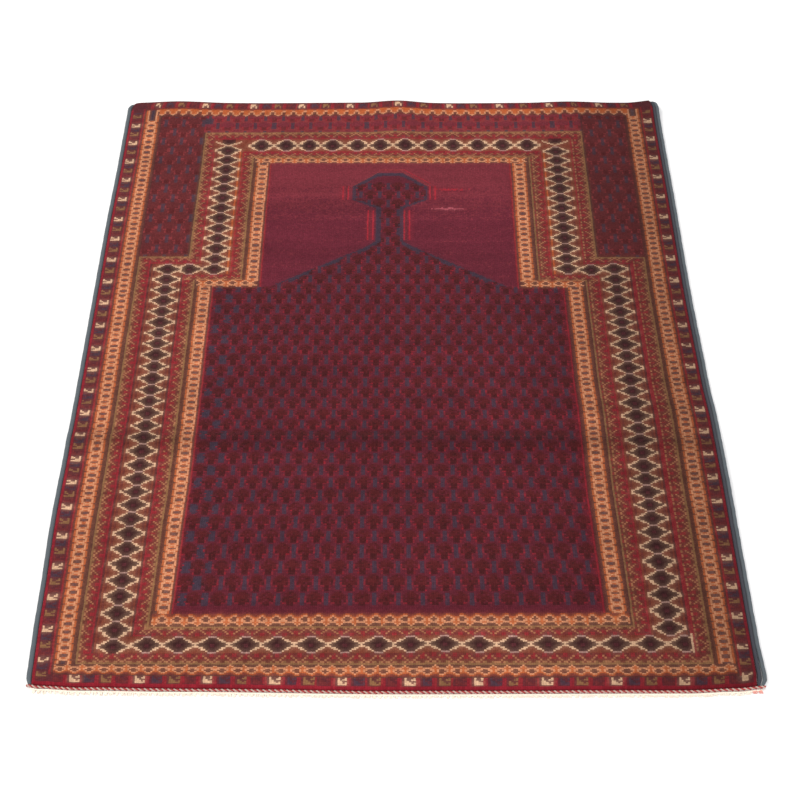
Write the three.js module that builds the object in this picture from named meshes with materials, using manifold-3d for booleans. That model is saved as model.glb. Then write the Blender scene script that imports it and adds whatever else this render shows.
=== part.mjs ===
// A small knotted prayer rug, flat on the floor: pile body, two side cords, twined end cord and short fringe.
// Millimetres. +X is to the right, +Y to the far, plain end, +Z up. The floor is z = 0.
import * as THREE from "three";
import { mergeVertices } from "three/addons/utils/BufferGeometryUtils.js";
import Module from "manifold-3d";

// Driving sizes
const TOTAL_WIDTH = 915;
const PILE_LENGTH = 1224;
const THICKNESS = 7;
const GAP = 0.3;

// The side cords: the left one has a single lobe, the right one two; both narrow where they end
const LEFT_CORD = { width: 6.6, height: 6.2, lobes: 1 };
const RIGHT_CORD = { width: 10.6, height: 5.6, lobes: 2 };
const CORD_WAVE = { depth: 0.35, length: 7.7 };
const CORD_END = { width: 0.62, height: 0.77 };
const WAIST = 0.82;

// The twined cord's half sizes, and the length in which its two plies turn once round
const TWINE = { wide: 1.95, flat: 1.25, turn: 14.8, stations: 5, sides: 6, setIn: 1 };

// The strip that holds the warp ends, and the three rings of one warp end from root to tip
const STRIP = { width: 1.6, height: 1.5, underCord: 0.6 };
const LOCK = { pitch: 6.9, width: 4.8, height: 1.4, length: 5.6, lean: 1.8, rooted: 0.7 };
const LOCK_UNEVEN = { length: 0.24, lean: 0.5, width: 0.12 };
const LOCK_RINGS = [
  { share: 0, wide: 0.8, high: 1 },
  { share: 0.6, wide: 1, high: 0.8 },
  { share: 1, wide: 0.3, high: 0.35 },
];

// The steps in which the solids follow the rug, with closer ones at its edges, its ridge and its crease
const STEP = 42;
const CORD_STEP = 15;
const RIDGE_STEPS = [-62, -40, -20, 0, 20, 40, 62];
const CREASE_STEPS = [-16, -7, 0, 10, 22, 38];
const EDGE_STEPS = [6, 18];

// How far each side stands out of its straight line, by the distance from the far end
const LEFT_SIDE = [
  { along: 0, out: -7 },
  { along: 5, out: -3.6 },
  { along: 14, out: -1.6 },
  { along: 160, out: -1.4 },
  { along: 350, out: 0.5 },
  { along: 700, out: 0.4 },
  { along: 950, out: 2.2 },
  { along: 1100, out: 0.2 },
  { along: 1205, out: -2 },
  { along: 1224, out: -3.2 },
];
const RIGHT_SIDE = [
  { along: 0, out: -3.6 },
  { along: 6, out: -0.8 },
  { along: 20, out: 0.8 },
  { along: 200, out: 0 },
  { along: 500, out: -2.3 },
  { along: 680, out: -0.8 },
  { along: 770, out: 2.2 },
  { along: 940, out: 2.1 },
  { along: 1205, out: 1.2 },
  { along: 1224, out: -0.6 },
];

// How far the two ends draw in, by the distance from the middle line
const FAR_END = [
  { across: -460, inward: 6 },
  { across: -440, inward: 1.5 },
  { across: -370, inward: 0 },
  { across: -240, inward: 2.2 },
  { across: 10, inward: 0 },
  { across: 110, inward: 2.4 },
  { across: 300, inward: 0.6 },
  { across: 440, inward: 0.8 },
  { across: 460, inward: 2.5 },
];
const NEAR_END = [
  { across: -460, inward: 11 },
  { across: -440, inward: 8 },
  { across: -390, inward: 5.4 },
  { across: -265, inward: 3.6 },
  { across: 0, inward: 0 },
  { across: 360, inward: 1.2 },
  { across: 420, inward: 4 },
  { across: 460, inward: 8 },
];

// Where the rug stands off the floor: soft rises, each fading to nothing at its half width and half length
const RIDGE = { across: 8, along: 0, rise: 6.5, halfWidth: 62, halfLength: 190 };
const RISES = [
  RIDGE,
  { across: 462, along: 0, rise: 6.5, halfWidth: 60, halfLength: 70 },
  { across: -370, along: 0, rise: 2.4, halfWidth: 85, halfLength: 110 },
  { across: 305, along: 0, rise: 2.4, halfWidth: 75, halfLength: 120 },
  { across: 52, along: 1165, rise: 2.2, halfWidth: 46, halfLength: 48 },
  { across: -452, along: 940, rise: 2.2, halfWidth: 40, halfLength: 130 },
  { across: 455, along: 880, rise: 2.6, halfWidth: 44, halfLength: 120 },
];

// The storage crease across the rug: a low ridge with a short far flank and a longer near one
const CREASE = { along: 805, slant: 10, rise: 3, farFlank: 16, nearFlank: 38, uneven: 0.22, wave: 90 };

// The rounded rim, as shares of the thickness: how high each ring lies, and how far it is set in
const RIM = [
  { height: 0, side: 0, far: 0.3, near: 0 },
  { height: 0.45, side: 0, far: 0, near: 0 },
  { height: 0.84, side: 0.16, far: 0.14, near: 0.14 },
  { height: 1, side: 0.5, far: 0.5, near: 0.45 },
];

const PILE_WIDTH = TOTAL_WIDTH - LEFT_CORD.width - RIGHT_CORD.width - 2 * GAP;
const PILE_LEFT = -TOTAL_WIDTH / 2 + LEFT_CORD.width + GAP;
const PILE_RIGHT = PILE_LEFT + PILE_WIDTH;

const smooth = (t) => t * t * (3 - 2 * t);

// Reads a short table at a place, easing from one row to the next.
function read(table, column, place, value) {
  const last = table.length - 1;
  if (place <= table[0][column]) return table[0][value];
  if (place >= table[last][column]) return table[last][value];
  const next = table.findIndex((row) => row[column] > place);
  const [before, after] = [table[next - 1], table[next]];
  const share = (place - before[column]) / (after[column] - before[column]);
  return THREE.MathUtils.lerp(before[value], after[value], smooth(share));
}

// A smooth unevenness between -1 and 1: a slow wave and a quicker one that don't fall together.
const SLOW = { share: 0.6 };
const QUICK = { share: 0.4, wave: 0.37, start: 1.3 };
const uneven = (place, wave) =>
  SLOW.share * Math.sin(place / wave) + QUICK.share * Math.sin(place / (QUICK.wave * wave) + QUICK.start);

// Places from 0 to length, no further apart than the step, with the extra places kept.
function places(length, step, extras = []) {
  const knots = [0, ...extras, length];
  return knots.slice(1).flatMap((end, i) => {
    const start = knots[i];
    const count = Math.ceil((end - start) / step);
    return Array.from({ length: count }, (_, k) => start + ((end - start) * k) / count);
  }).concat(length);
}

const withEdges = (length, inner = []) => [
  ...EDGE_STEPS,
  ...inner,
  ...EDGE_STEPS.map((step) => length - step).reverse(),
];

// The places of the solids' rows, from the far end, and of their columns, from the pile's left edge
const CREASE_ROWS = CREASE_STEPS.map((step) => CREASE.along + step);
const RIDGE_COLUMNS = RIDGE_STEPS.map((step) => RIDGE.across - PILE_LEFT + step);
const ROWS = places(PILE_LENGTH, STEP, withEdges(PILE_LENGTH, CREASE_ROWS));
const COLUMNS = places(PILE_WIDTH, STEP, withEdges(PILE_WIDTH, RIDGE_COLUMNS));

// A line that runs straight between its stops, so that what lies along it keeps one gap.
function follow(stops, value) {
  const values = stops.map(value);
  return (place) => {
    const next = Math.max(1, stops.findIndex((stop) => stop > place));
    const end = place >= stops[stops.length - 1] ? stops.length - 1 : next;
    const share = (place - stops[end - 1]) / (stops[end] - stops[end - 1]);
    return THREE.MathUtils.lerp(values[end - 1], values[end], THREE.MathUtils.clamp(share, 0, 1));
  };
}

const leftSide = follow(ROWS, (along) => PILE_LEFT - read(LEFT_SIDE, "along", along, "out"));
const rightSide = follow(ROWS, (along) => PILE_RIGHT + read(RIGHT_SIDE, "along", along, "out"));
const farInward = follow(COLUMNS, (column) => read(FAR_END, "across", PILE_LEFT + column, "inward"));
const nearInward = follow(COLUMNS, (column) => read(NEAR_END, "across", PILE_LEFT + column, "inward"));

// How far a place lies back from the far end's straight line, with both ends drawn in.
function back(across, along) {
  const share = (across - leftSide(along)) / (rightSide(along) - leftSide(along));
  const [far, near] = [farInward(share * PILE_WIDTH), nearInward(share * PILE_WIDTH)];
  return THREE.MathUtils.lerp(far, PILE_LENGTH - near, along / PILE_LENGTH);
}

function crease(across, along) {
  const middle = CREASE.along + (CREASE.slant * across) / TOTAL_WIDTH;
  const away = along - middle;
  const flank = away < 0 ? CREASE.farFlank : CREASE.nearFlank;
  const share = Math.min(1, Math.abs(away) / flank);
  return CREASE.rise * (1 - CREASE.uneven * (1 - uneven(across, CREASE.wave))) * smooth(1 - share);
}

// The height of the underside over the floor.
function lift(across, along) {
  const rises = RISES.map((r) => {
    const away = Math.hypot((across - r.across) / r.halfWidth, (along - r.along) / r.halfLength);
    return r.rise * smooth(Math.max(0, 1 - away));
  });
  return Math.max(crease(across, along), ...rises);
}

const point = (across, along, up) =>
  new THREE.Vector3(across, PILE_LENGTH / 2 - back(across, along), lift(across, along) + up);

// A closed body of rings of points that follow one another, its two open ends filled by fans.
function ringed(rings) {
  const sides = rings[0].length;
  const points = rings.flat();
  const faces = [];
  for (let r = 0; r + 1 < rings.length; r += 1) {
    for (let k = 0; k < sides; k += 1) {
      const a = r * sides + k;
      const b = r * sides + ((k + 1) % sides);
      faces.push([a, b, b + sides], [a, b + sides, a + sides]);
    }
  }
  const end = (rings.length - 1) * sides;
  for (let k = 1; k + 1 < sides; k += 1) {
    faces.push([0, k + 1, k], [end, end + k, end + k + 1]);
  }
  return solid(points, faces);
}

function solid(points, faces) {
  const geometry = new THREE.BufferGeometry();
  const position = new Float32Array(points.flatMap((p) => [p.x, p.y, p.z]));
  geometry.setAttribute("position", new THREE.BufferAttribute(position, 3));
  geometry.setIndex(faces.flat());
  return geometry;
}

// The pile body: an upper and a lower sheet of cells, joined by the rings of its rim
function pileBody() {
  const [lastColumn, lastRow] = [COLUMNS.length - 1, ROWS.length - 1];
  const inset = (at, last, atStart, atEnd) => THICKNESS * (at === 0 ? atStart : at === last ? -atEnd : 0);
  const place = (i, j, ring) => {
    const along = ROWS[j] + inset(j, lastRow, ring.far, ring.near);
    const across = THREE.MathUtils.lerp(leftSide(along), rightSide(along), COLUMNS[i] / PILE_WIDTH);
    return point(across + inset(i, lastColumn, ring.side, ring.side), along, ring.height * THICKNESS);
  };

  const wide = COLUMNS.length;
  const deep = ROWS.length;
  const sheet = (ring) => ROWS.flatMap((_, j) => COLUMNS.map((__, i) => place(i, j, ring)));
  const lower = sheet(RIM[0]);
  const upper = sheet(RIM[RIM.length - 1]);
  const points = [...lower, ...upper];
  const faces = [];
  for (let j = 0; j + 1 < deep; j += 1) {
    for (let i = 0; i + 1 < wide; i += 1) {
      const a = j * wide + i;
      const [b, c, d] = [a + 1, a + wide + 1, a + wide];
      const top = lower.length;
      faces.push([a, b, c], [a, c, d], [a + top, c + top, b + top], [a + top, d + top, c + top]);
    }
  }

  // The border of the sheets, walked once round: far end, right side, near end, left side
  const border = [];
  for (let i = 0; i + 1 < wide; i += 1) border.push([i, 0]);
  for (let j = 0; j + 1 < deep; j += 1) border.push([wide - 1, j]);
  for (let i = wide - 1; i > 0; i -= 1) border.push([i, deep - 1]);
  for (let j = deep - 1; j > 0; j -= 1) border.push([0, j]);

  let below = border.map(([i, j]) => j * wide + i);
  RIM.slice(1).forEach((ring, r) => {
    const last = r + 2 === RIM.length;
    const here = border.map(([i, j]) => {
      if (last) return lower.length + j * wide + i;
      return points.push(place(i, j, ring)) - 1;
    });
    below.forEach((a, k) => {
      const next = (k + 1) % border.length;
      faces.push([a, here[next], below[next]], [a, here[k], here[next]]);
    });
    below = here;
  });
  return solid(points, faces);
}

// The outline of a side cord: one round lobe, or two that lie side by side, flat underneath
function cordSection(cord) {
  const radius = cord.width / (2 * cord.lobes);
  const corners = Array.from({ length: 8 }, (_, k) => Math.PI * (0.125 + 0.25 * k));
  const flatTo = Math.cos(Math.PI / 8);
  const lobe = (middle, from, count) =>
    corners.slice(from, from + count).map((turn) => ({
      across: middle + (radius * Math.cos(turn)) / flatTo,
      up: (cord.height / 2) * (1 + Math.sin(turn) / flatTo),
    }));
  if (cord.lobes === 1) return lobe(0, 0, 8);
  const waist = (up) => ({ across: 0, up });
  const right = [...lobe(radius, 6, 2), ...lobe(radius, 0, 2)];
  const left = lobe(-radius, 2, 4);
  return [...right, waist(WAIST * cord.height), ...left, waist(0)];
}

// A cord laid along one side of the pile body; hand is -1 on the left and 1 on the right
function sideCord(cord, hand) {
  const section = cordSection(cord);
  const side = hand < 0 ? leftSide : rightSide;
  const rings = places(PILE_LENGTH, CORD_STEP, withEdges(PILE_LENGTH)).map((along) => {
    const whole = along > 0 && along < PILE_LENGTH;
    const wave = 1 + (CORD_WAVE.depth * uneven(along, CORD_WAVE.length)) / cord.width;
    const outward = whole ? wave : CORD_END.width;
    const tall = whole ? 1 : CORD_END.height;
    const inner = side(along) + hand * GAP;
    return section.map(({ across, up }) => {
      const out = (cord.width / 2 + hand * across) * outward;
      const edge = point(side(along), along, up * tall);
      return edge.setX(inner + hand * out);
    });
  });
  return ringed(rings);
}

// The line on which the near end's trims lie, a little off the pile's edge
const nearLine = (across, off) => PILE_LENGTH / 2 - back(across, PILE_LENGTH) - GAP - off;

// The twined cord: two plies wound round each other across the near end
function twinedCord() {
  const [from, to] = [leftSide(PILE_LENGTH) + TWINE.setIn, rightSide(PILE_LENGTH) - TWINE.setIn];
  const count = Math.round(((to - from) / TWINE.turn) * TWINE.stations);
  const rings = Array.from({ length: count + 1 }, (_, k) => {
    const across = THREE.MathUtils.lerp(from, to, k / count);
    const turned = (2 * Math.PI * k) / TWINE.stations;
    return Array.from({ length: TWINE.sides }, (_, s) => {
      const around = (2 * Math.PI * s) / TWINE.sides;
      const [a, b] = [TWINE.wide * Math.cos(around), TWINE.flat * Math.sin(around)];
      const out = a * Math.cos(turned) - b * Math.sin(turned);
      const up = a * Math.sin(turned) + b * Math.cos(turned);
      return new THREE.Vector3(across, nearLine(across, TWINE.wide) + out, TWINE.wide + up);
    });
  });
  return ringed(rings);
}

// The strip that the warp ends grow from, just outside the twined cord
function fringeStrip(from, to) {
  const off = 2 * TWINE.wide + GAP;
  const rings = places(to - from, 2 * LOCK.pitch).map((x) => {
    const across = from + x;
    const inner = nearLine(across, off);
    const corners = [
      [inner, 0],
      [inner, STRIP.height],
      [inner - STRIP.width, STRIP.height],
      [inner - STRIP.width, 0],
    ];
    return corners.map(([y, z]) => new THREE.Vector3(across, y, z));
  });
  return ringed(rings);
}

// One warp end: a three-sided lock that lies level on the floor and tapers to its tip
function lock(across, length, lean, width) {
  const root = nearLine(across, 2 * TWINE.wide + GAP + STRIP.width) + LOCK.rooted;
  const ring = (share, wide, high) => {
    const x = across + lean * share;
    const y = root - (length + LOCK.rooted) * share;
    return [
      new THREE.Vector3(x + wide / 2, y, 0),
      new THREE.Vector3(x, y, high),
      new THREE.Vector3(x - wide / 2, y, 0),
    ];
  };
  return ringed(LOCK_RINGS.map((r) => ring(r.share, r.wide * width, r.high * LOCK.height)));
}

// A closed mesh as a solid that can be joined to others.
function cutSolid(wasm, geometry) {
  const merged = mergeVertices(geometry, 1e-4);
  return new wasm.Manifold(
    new wasm.Mesh({
      numProp: 3,
      vertProperties: merged.attributes.position.array,
      triVerts: new Uint32Array(merged.index.array),
    }),
  );
}

// The short warp ends, side by side, joined to their strip
function warpFringe(wasm) {
  const from = leftSide(PILE_LENGTH) + TWINE.setIn;
  const to = rightSide(PILE_LENGTH) + STRIP.underCord * RIGHT_CORD.width;
  const margin = LOCK.pitch / 2;
  const count = Math.round((to - from - 2 * margin) / LOCK.pitch);
  const locks = Array.from({ length: count + 1 }, (_, k) => {
    const across = THREE.MathUtils.lerp(from + margin, to - margin, k / count);
    const [size, way] = [uneven(k, 0.9), uneven(k, 1.7)];
    const length = LOCK.length * (1 + LOCK_UNEVEN.length * size);
    const lean = LOCK.lean * (1 + LOCK_UNEVEN.lean * way);
    return lock(across, length, lean, LOCK.width * (1 - LOCK_UNEVEN.width * way));
  });
  const joined = wasm.Manifold.union([fringeStrip(from, to), ...locks].map((g) => cutSolid(wasm, g)));
  const mesh = joined.getMesh();
  const geometry = new THREE.BufferGeometry();
  geometry.setAttribute("position", new THREE.BufferAttribute(new Float32Array(mesh.vertProperties), 3));
  geometry.setIndex(Array.from(mesh.triVerts));
  return geometry;
}

// Wool and goat hair in the rug's own colours
const MATERIALS = {
  pile: { color: 0x6b3533, roughness: 0.95, metalness: 0 },
  darkHair: { color: 0x46505a, roughness: 0.9, metalness: 0 },
  twine: { color: 0xd9776f, roughness: 0.92, metalness: 0 },
  warp: { color: 0xf3ddc8, roughness: 0.95, metalness: 0 },
};

function part(name, geometry, material) {
  geometry.computeVertexNormals();
  const mesh = new THREE.Mesh(geometry, new THREE.MeshStandardMaterial(MATERIALS[material]));
  mesh.name = name;
  return mesh;
}

const wasm = await Module();
wasm.setup();

const rug = new THREE.Group();
rug.add(part("pile_body", pileBody(), "pile"));
rug.add(part("selvedge_left", sideCord(LEFT_CORD, -1), "darkHair"));
rug.add(part("selvedge_right", sideCord(RIGHT_CORD, 1), "darkHair"));
rug.add(part("twined_cord", twinedCord(), "twine"));
rug.add(part("warp_fringe", warpFringe(wasm), "warp"));

// The middle of the rug's outline lies over the origin
const middle = new THREE.Box3().setFromObject(rug).getCenter(new THREE.Vector3());
rug.position.set(-middle.x, -middle.y, 0);

export default rug;
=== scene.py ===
"""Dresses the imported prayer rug: its knotted pile, overcast side cords, twined end cord and warp fringe."""
import math
from typing import NamedTuple

import bmesh
import bpy
import numpy as np
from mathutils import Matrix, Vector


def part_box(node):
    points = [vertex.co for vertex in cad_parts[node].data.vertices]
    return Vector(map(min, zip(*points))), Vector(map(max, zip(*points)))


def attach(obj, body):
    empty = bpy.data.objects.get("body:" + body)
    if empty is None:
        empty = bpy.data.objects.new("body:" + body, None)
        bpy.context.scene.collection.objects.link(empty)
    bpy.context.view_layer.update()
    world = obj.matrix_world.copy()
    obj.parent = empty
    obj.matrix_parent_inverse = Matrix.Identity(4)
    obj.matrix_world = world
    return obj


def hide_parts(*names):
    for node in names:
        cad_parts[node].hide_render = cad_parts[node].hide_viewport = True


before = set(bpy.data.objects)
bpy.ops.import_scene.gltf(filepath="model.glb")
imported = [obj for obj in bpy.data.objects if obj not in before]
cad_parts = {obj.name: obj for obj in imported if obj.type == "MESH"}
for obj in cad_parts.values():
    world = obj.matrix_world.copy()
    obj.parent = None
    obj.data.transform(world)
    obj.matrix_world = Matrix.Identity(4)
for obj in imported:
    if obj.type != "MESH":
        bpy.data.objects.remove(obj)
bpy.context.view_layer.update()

# Sizes are in millimetres and are made metres where a mesh gets its points
MM = 0.001

# The pile: its size, its knots, and the thickness of pile and foundation together
PILE_WIDTH = 897.2
PILE_LENGTH = 1224
THICKNESS = 7
KNOT_COLUMNS = 324
KNOT_ROWS = 492
GAP = 0.3

# How far each side stands out of its straight line, and how far each end draws in
LEFT_SIDE = {
    "along": (0, 5, 14, 160, 350, 700, 950, 1100, 1205, 1224),
    "out": (-7, -3.6, -1.6, -1.4, 0.5, 0.4, 2.2, 0.2, -2, -3.2),
}
RIGHT_SIDE = {
    "along": (0, 6, 20, 200, 500, 680, 770, 940, 1205, 1224),
    "out": (-3.6, -0.8, 0.8, 0, -2.3, -0.8, 2.2, 2.1, 1.2, -0.6),
}
FAR_END = {
    "across": (-460, -440, -370, -240, 10, 110, 300, 440, 460),
    "inward": (6, 1.5, 0, 2.2, 0, 2.4, 0.6, 0.8, 2.5),
}
NEAR_END = {
    "across": (-460, -440, -390, -265, 0, 360, 420, 460),
    "inward": (11, 8, 5.4, 3.6, 0, 1.2, 4, 8),
}
DRAWN_IN = {"far": 110, "near": 60}

# Soft rises of the rug off the floor, the storage crease, and the low ripples that cross the rug
RISES = (
    {"across": 8, "along": 0, "rise": 4, "half_width": 62, "half_length": 190},
    {"across": 462, "along": 0, "rise": 6.5, "half_width": 60, "half_length": 70},
    {"across": -370, "along": 0, "rise": 2.4, "half_width": 85, "half_length": 110},
    {"across": 305, "along": 0, "rise": 2.4, "half_width": 75, "half_length": 120},
    {"across": 52, "along": 1165, "rise": 2.2, "half_width": 46, "half_length": 48},
    {"across": -452, "along": 940, "rise": 2.2, "half_width": 40, "half_length": 130},
    {"across": 455, "along": 880, "rise": 2.6, "half_width": 44, "half_length": 120},
)
CREASE = {"along": 805, "slant": 10, "rise": 3, "far_flank": 16, "near_flank": 38, "uneven": 0.22, "wave": 90}
# Painted shade along the crease: the half width of its band, and the share of light it takes at the middle
CREASE_PAINTED_SHADE = {"half_width": 34, "share": 0.26}
RIPPLES = {
    "along": (0, 130, 210, 300, 380, 470, 540, 617, 684, 735, 780, 885, 962, 1014, 1060, 1130, 1224),
    "rise": (0, 0.5, 0, 0.5, 0, 0.9, 0, 1.2, 0, 1, 0, 0, 1.3, 0, 0.5, 0, 0),
}

# The rounded rim, from the top face down: heights and insets as shares of the thickness
RIM = {
    "height": (1, 0.96, 0.86, 0.68, 0.45, 0.2, 0.04),
    "inset": (0.5, 0.3, 0.15, 0.04, 0, 0.02, 0.1),
}
NEAR_RIM = 0.5

# The trims
LEFT_CORD = {"width": 6.6, "height": 6.2, "lobes": 1, "flare": 1}
RIGHT_CORD = {"width": 10.6, "height": 5.6, "lobes": 2, "flare": 1.25}
FLARE = {"along": (1150, 1215), "share": (0, 1)}
TWINE = {"wide": 1.95, "turn": 7.3, "ply": 1.12, "stations": 9}
STRIP = {"width": 2.2, "height": 1.7}
LOCK = {"pitch": 6.9, "width": 4.8, "length": 3.6, "longer_left": 1.4, "lean": 1}

pile_low, pile_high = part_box("pile_body")
LEFT = pile_low.x / MM + max(LEFT_SIDE["out"])
RIGHT = LEFT + PILE_WIDTH
FAR = pile_high.y / MM


# The rug's own shape


def smooth(share):
    return share * share * (3 - 2 * share)


def eased(table, place):
    """Reads a two-column table at a place, easing from one row to the next."""
    at, value = (np.array(column, float) for column in table.values())
    place = np.clip(place, at[0], at[-1])
    after = np.clip(np.searchsorted(at, place, side="right"), 1, len(at) - 1)
    share = smooth((place - at[after - 1]) / (at[after] - at[after - 1]))
    return value[after - 1] + (value[after] - value[after - 1]) * share


def uneven(place, wave):
    """A smooth unevenness between -1 and 1: a slow wave and a quicker one that don't fall together."""
    return 0.6 * np.sin(place / wave) + 0.4 * np.sin(place / (0.37 * wave) + 1.3)


def left_side(along):
    return LEFT - eased(LEFT_SIDE, along)


def right_side(along):
    return RIGHT + eased(RIGHT_SIDE, along)


def back(across, along):
    """How far a place lies from the far end's straight line: both ends are drawn in, and soon no more."""
    share = (across - left_side(along)) / (right_side(along) - left_side(along))
    straight = LEFT + share * PILE_WIDTH
    far = eased(FAR_END, straight) * smooth(np.clip(1 - along / DRAWN_IN["far"], 0, 1))
    near = eased(NEAR_END, straight) * smooth(np.clip(1 - (PILE_LENGTH - along) / DRAWN_IN["near"], 0, 1))
    return along + far - near


def crease(across, along):
    middle = CREASE["along"] + CREASE["slant"] * across / PILE_WIDTH
    away = along - middle
    flank = np.where(away < 0, CREASE["far_flank"], CREASE["near_flank"])
    share = np.minimum(1, np.abs(away) / flank)
    return CREASE["rise"] * (1 - CREASE["uneven"] * (1 - uneven(across, CREASE["wave"]))) * smooth(1 - share)


def lift(across, along):
    """The height of the underside over the floor."""
    height = crease(across, along)
    for r in RISES:
        away = np.hypot((across - r["across"]) / r["half_width"], (along - r["along"]) / r["half_length"])
        height = np.maximum(height, r["rise"] * smooth(np.clip(1 - away, 0, 1)))
    sway = 14 * uneven(across, 130)
    return height + eased(RIPPLES, along + sway) * smooth(np.clip((457 - np.abs(across)) / 120, 0, 1))


def point(across, along, up):
    """A place on the rug as x, y and z in metres."""
    return np.stack([across, FAR - back(across, along), lift(across, along) + up], axis=-1) * MM


def near_line(across, off):
    """The line on which the near end's trims lie, a little off the pile's edge."""
    return FAR - back(across, np.full_like(across, PILE_LENGTH)) - GAP - off


# The knot chart: one letter for each yarn, and rows counted from the far end

YARNS = {
    "k": (146, 34, 46),
    "s": (172, 42, 54),
    "n": (122, 46, 56),
    "R": (140, 54, 56),
    "P": (100, 40, 42),
    "p": (98, 34, 46),
    "B": (86, 30, 32),
    "D": (64, 26, 26),
    "N": (60, 52, 66),
    "d": (78, 44, 44),
    "O": (188, 92, 46),
    "c": (224, 154, 114),
    "i": (240, 196, 158),
    "q": (190, 150, 138),
    "r": (124, 60, 44),
    "M": (112, 46, 46),
    "o": (146, 106, 70),
    "t": (176, 120, 84),
    "g": (92, 42, 48),
    "A": (62, 32, 32),
    "h": (104, 48, 44),
    "f": (186, 92, 102),
    "u": (70, 56, 68),
    "m": (104, 36, 50),
    "e": (126, 36, 46),
}
LETTERS = "".join(YARNS)

# Where the knot rows lie on the left and on the right: some stretches are beaten down harder than others
BEAT = {
    "row": (0, 2, 9, 20, 38, 51, 71, 192.5, 445, 459.5, 464.5, 469.5, 476, 485, 490, 492),
    "left": (0, 4.5, 22, 48, 91, 127, 174.5, 468, 1110, 1146.5, 1158.5, 1170.5, 1189.5, 1208.5, 1219.5, 1224),
    "right": (0, 3.5, 17, 42, 85.5, 123, 172.5, 471, 1107, 1143, 1155.5, 1168, 1188, 1208, 1219.5, 1224),
}

# How the warps bend: the borders narrow towards the near end, and the field sways a little to the left
NARROW = {"along": (900, 1150), "share": (0, 1)}
NARROW_BY = {"share": (0, 0.1975, 0.795, 1), "shift": (0, -8, 7, 0)}
SWAY = {"along": (500, 800), "shift": (0, -4.5)}


class Band(NamedTuple):
    """One band of the border: its ground, its first rows at both ends and at the step, and first columns."""

    ground: str
    far: int
    near: int
    step: int
    lower: tuple
    upper: tuple


# The bands from the rug's edge inwards; each pair of columns is counted from the left and from the right edge
BANDS = (
    Band("k", 0, 492, 0, (0, 0), (0, 0)),
    Band("g", 2, 491, 0, (1, 1), (1, 1)),
    Band("k", 9, 485, 0, (8, 7), (8, 7)),
    Band("d", 9, 485, 0, (9, 8), (9, 8)),
    Band("r", 10, 484, 0, (10, 9), (10, 9)),
    Band("d", 18, 476, 0, (19, 18), (19, 18)),
    Band("P", 19, 476, 0, (20, 19), (20, 19)),
    Band("o", 38, 476, 169, (20, 19), (48, 46)),
    Band("M", 39, 475, 170, (21, 20), (49, 47)),
    Band("k", 44, 471, 175, (26, 26), (54, 53)),
    Band("d", 45, 470, 176, (27, 28), (55, 54)),
    Band("r", 45, 470, 176, (28, 29), (55, 54)),
    Band("d", 58, 459, 187, (45, 46), (72, 72)),
    Band("k", 58, 459, 187, (46, 46), (72, 72)),
    Band("M", 60, 458, 188, (47, 47), (73, 73)),
    Band("o", 64, 454, 191, (52, 53), (78, 79)),
    Band("d", 65, 453, 192, (53, 54), (79, 80)),
    Band("r", 65, 453, 192, (54, 55), (80, 81)),
    Band("d", 71, 445, 198, (62, 65), (88, 90)),
    Band("k", 71, 445, 198, (63, 66), (89, 91)),
    Band("n", 71, 445, 198, (64, 67), (90, 92)),
)

# The chains, from the rug's edge inwards, at the two ends and at the sides
CHAIN_END = ("OrMMMrO", "cOrMrOc", "dcOOOcd", "ddcOcdd", "dccOccd", "ccOOOcc", "ddcOcdd", "dddcddd")
CHAIN_FAR = ("rOOOOOr", "cOOOOOc", "cOOOOOc", "dcOOOcd", "dcOOOcd", "dcOOOcd", "PdcccdP", "PPdcdPP")
CHAIN_SIDE = ("dOccccOdd", "OccOOccOd", "OcdNNdcOd", "OcdNNdcOd", "OccOOccOd")

# The zigzag, from the crimson line to the olive one
ZIGZAG = ("kh..hk..hk", "k..tkkt..k", "..t.kk.t..", ".t..hh..t.", "t.tohhot.t")

TREE = (
    "ppppBBBpppp",
    "NppBBBBBppN",
    "NpBBBBBBBpN",
    "NeBBBBBBBeN",
    "NeBBBBBBBeN",
    "NeDBBBBBDeN",
    "NpeeDBDeepN",
    "NpppDDDpppN",
    "NppeDDDeppN",
    "pppeDDDeppp",
)
COMB_SIDE = (".x...x.", ".x..xx.", ".xxx...", ".xxxxx.", ".......")
COMB_END = ("k.x...xk", "k.x..xxk", "k.xx...k", "k.xxx.xk", "k.xxxxxk")
COMB_FAR = ("k......k", "k.xxx..k", "k.xx.x.k", "k.x..x.k", "k......k")
COMB_CYCLE = "iuoM"

# One half of a diamond's row, from its middle outwards; the rows go from its middle to the pale link
DIAMOND = ("AAAAAAdi", "AAAAAdii", "AAAAii..", "AAAii...", "AAi.....", "qq......")
DIAMOND_ROWS = {
    3: (0, 2, 4),
    4: (0, 2, 3, 4),
    5: (0, 1, 2, 3, 4),
    6: (0, 1, 2, 2, 3, 4),
    7: (0, 1, 1, 2, 3, 3, 4),
}

# How the repeating figures are spaced: so many figures lie before each of a few round places, in millimetres
# from the far end for the sides and from the left edge for the ends, and they are spread evenly between
DIAMONDS = {
    "upper left": {"place": (140, 440), "figures": (0, 12)},
    "upper right": {"place": (140, 440), "figures": (0, 12)},
    "lower left": {"place": (440, 775, 1000, 1160), "figures": (0, 14, 23, 29)},
    "lower right": {"place": (440, 780, 995, 1130), "figures": (0, 14, 23, 28)},
    "far": {"place": (230, 470, 675), "figures": (0, 6, 11)},
    "near": {"place": (138, 470, 770), "figures": (0, 8, 15)},
}
CHAINS = {
    "left": {"place": (55, 145, 590, 1010, 1200), "figures": (-6, 0, 36, 72, 87)},
    "right": {"place": (40, 140, 580, 1005, 1200), "figures": (-7, 0, 35, 72, 88)},
    "inner": {"place": (170, 485, 1105), "figures": (0, 24.5, 75)},
    "far": {"place": (55, 415, 830), "figures": (0, 20, 42)},
    "near": {"place": (35, 400, 580, 855), "figures": (0, 20, 30, 44)},
    "near inner": {"place": (165, 435, 730), "figures": (0, 15, 31)},
}
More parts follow.
